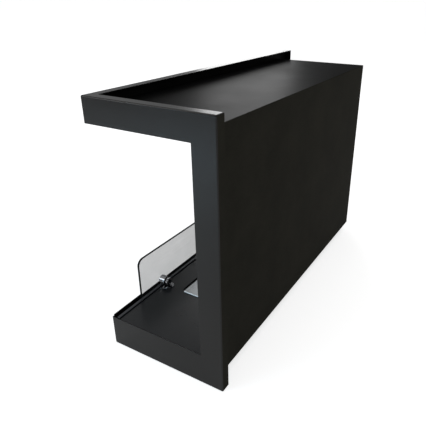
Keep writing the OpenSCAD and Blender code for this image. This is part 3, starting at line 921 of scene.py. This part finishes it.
def knob_profile(knob_r, knob_h):
    """Foot, waisted neck and domed cap of the knob, as shares of its radius at heights in mm."""
    foot = [(0.0, 0.0), (0.7, 0.0), (0.7, 0.6), (0.62, 1.1)]
    neck = [(0.5 + 0.12 * math.cos(math.pi * i / 8), 1.1 + i * 0.6) for i in range(1, 8)]
    cap = [(0.6, 6.2), (0.85, 7.6), (0.97, 8.6), (1.0, 9.4), (1.0, 10.4), (0.95, 11.2), (0.84, 11.8)]
    profile = [(share * knob_r, height * MM) for share, height in foot + neck + cap]
    return profile + [(0.7 * knob_r, knob_h), (0.0, knob_h)]


def build_lid():
    """Sliding lid and its turned knob."""
    dressed("sliding_lid", "burner_lid", "lid", STAINLESS, "stainless", width=0.5 * MM)
    low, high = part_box("lid_knob")
    middle = (low + high) / 2
    profile = knob_profile((high.x - low.x) / 2, high.z - low.z)
    knob = turned("turned_lid_knob", profile, KNOB_SIDES, CHROME, sharp=ROUNDED_SHARP)
    knob.data.transform(Matrix.Translation((middle.x, middle.y, low.z)))
    settle_on(knob, "lid", "chrome", "lid_knob")


# Stage: pale floor, soft lights, world and camera

def seen_plainly(tree, rays):
    """Rays of the camera, also through glass, that no surface has mirrored on their way."""
    unmirrored = math_node(tree, "LESS_THAN", rays["Glossy Depth"], 0.5)
    through = math_node(tree, "MULTIPLY", rays["Is Transmission Ray"], unmirrored)
    return math_node(tree, "MAXIMUM", rays["Is Camera Ray"], through)


def make_stage_finish():
    """White floor that keeps the soft shadow of what stands on it."""
    finish = bpy.data.materials.new("Pale floor")
    finish.use_nodes = True
    tree = finish.node_tree
    tree.nodes.clear()
    rays = add(tree, "ShaderNodeLightPath").outputs
    mirrored = scaled(tree, rays["Is Glossy Ray"], MIRRORED_SHARE)
    seen = math_node(tree, "MAXIMUM", seen_plainly(tree, rays), mirrored)
    matt = add(tree, "ShaderNodeBsdfDiffuse", {"Color": STAGE_GREY}).outputs[0]
    glow = add(tree, "ShaderNodeEmission", {"Color": WHITE, "Strength": scaled(tree, seen, STAGE_GLOW)})
    both = add(tree, "ShaderNodeAddShader", {0: matt, 1: glow.outputs[0]})
    add(tree, "ShaderNodeOutputMaterial", {"Surface": both.outputs[0]})
    return finish


def add_floor():
    """Wide round floor that the flange stands on."""
    shape = bmesh.new()
    bmesh.ops.create_circle(shape, cap_ends=True, segments=96, radius=STAGE_R)
    shape.transform(Matrix.Translation((0.0, 0.0, FLANGE_LOW.z)))
    new_piece("pale_floor", mesh_from(shape, "pale_floor"), make_stage_finish())


def add_softbox(name, place, target, size, radiance, colour=(1.0, 1.0, 1.0)):
    """Rectangular soft light; its power follows from its area and radiance."""
    lamp = bpy.data.lights.new(name, "AREA")
    lamp.shape = "RECTANGLE"
    lamp.size, lamp.size_y = size
    lamp.energy = radiance * math.pi * size[0] * size[1]
    lamp.color = colour
    holder = bpy.data.objects.new(name, lamp)
    bpy.context.scene.collection.objects.link(holder)
    holder.location = place
    holder.visible_camera = False
    holder.rotation_euler = (Vector(target) - Vector(place)).to_track_quat("-Z", "Y").to_euler()


def add_lights():
    add_softbox("window_strip", place=(-1.985, -1.17, 0.95), target=(0.0, 0.0, 0.3),
                size=(0.6, 1.4), radiance=2.6)
    add_softbox("overhead_box", place=(-0.3, -0.4, 2.6), target=(0.0, 0.0, 0.2),
                size=(2.4, 2.4), radiance=0.25, colour=(1.0, 0.97, 0.93))
    add_softbox("right_fill", place=(1.2, -0.55, 0.5), target=(1.2, -0.55, 0.0),
                size=(0.45, 0.45), radiance=8.0, colour=(0.58, 0.83, 1.0))
    add_softbox("edge_light", place=(1.08, -0.94, 1.02), target=(0.19, -0.05, 0.04),
                size=(0.35, 1.0), radiance=3.0)
    add_softbox("rear_fill", place=(-0.6, 1.5, 0.8), target=(-0.2, 0.1, 0.2),
                size=(0.8, 0.8), radiance=1.4, colour=(1.0, 0.97, 0.9))
    add_softbox("corner_fill", place=(0.75, 0.85, 0.7), target=(0.7, 0.8, 0.0),
                size=(0.4, 0.4), radiance=2.0)


def make_world():
    """Pale studio for the eye, and soft light that is dim on the camera's side."""
    world = bpy.data.worlds.new("Studio")
    world.use_nodes = True
    tree = world.node_tree
    tree.nodes.clear()
    way = add(tree, "ShaderNodeTexCoord").outputs["Generated"]
    height = add(tree, "ShaderNodeSeparateXYZ", {0: way}).outputs["Z"]
    far = add(tree, "ShaderNodeVectorMath", {0: way, 1: FAR_WAY}, operation="DOT_PRODUCT").outputs["Value"]
    rise = math_node(tree, "POWER", math_node(tree, "MAXIMUM", height, 0.0), RISE_POWER)
    sky_level = map_range(tree, rise, 0.0, 1.0, HORIZON_LEVEL, ZENITH_LEVEL)
    far_level = map_range(tree, far, FAR_START, 1.0, 0.0, FAR_LEVEL)
    level = summed(tree, sky_level, far_level)
    soft = add(tree, "ShaderNodeBackground", {"Color": STUDIO_TINT, "Strength": level})
    pale = add(tree, "ShaderNodeBackground", {"Color": WHITE, "Strength": 1.0})
    seen = seen_plainly(tree, add(tree, "ShaderNodeLightPath").outputs)
    either = add(tree, "ShaderNodeMixShader", {0: seen, 1: soft.outputs[0], 2: pale.outputs[0]})
    add(tree, "ShaderNodeOutputWorld", {"Surface": either.outputs[0]})
    bpy.context.scene.world = world


def add_camera():
    camera = bpy.data.objects.new("Camera", bpy.data.cameras.new("Camera"))
    bpy.context.scene.collection.objects.link(camera)
    camera.location = CAMERA_PLACE
    camera.rotation_euler = Euler([math.radians(turn) for turn in CAMERA_TURN], "XYZ")
    camera.data.lens = CAMERA_LENS
    camera.data.shift_x, camera.data.shift_y = CAMERA_SHIFT
    camera.data.clip_start, camera.data.clip_end = CAMERA_CLIP
    bpy.context.scene.camera = camera


build_flange()
build_casing()
finish_kept_solids()
build_glass()
build_liner_screws()
for clamp_side in ("right", "left"):
    build_clamp(clamp_side)
build_burner()
build_lid()
add_floor()
add_lights()
make_world()
add_camera()
bpy.context.scene.view_settings.view_transform = "Standard"
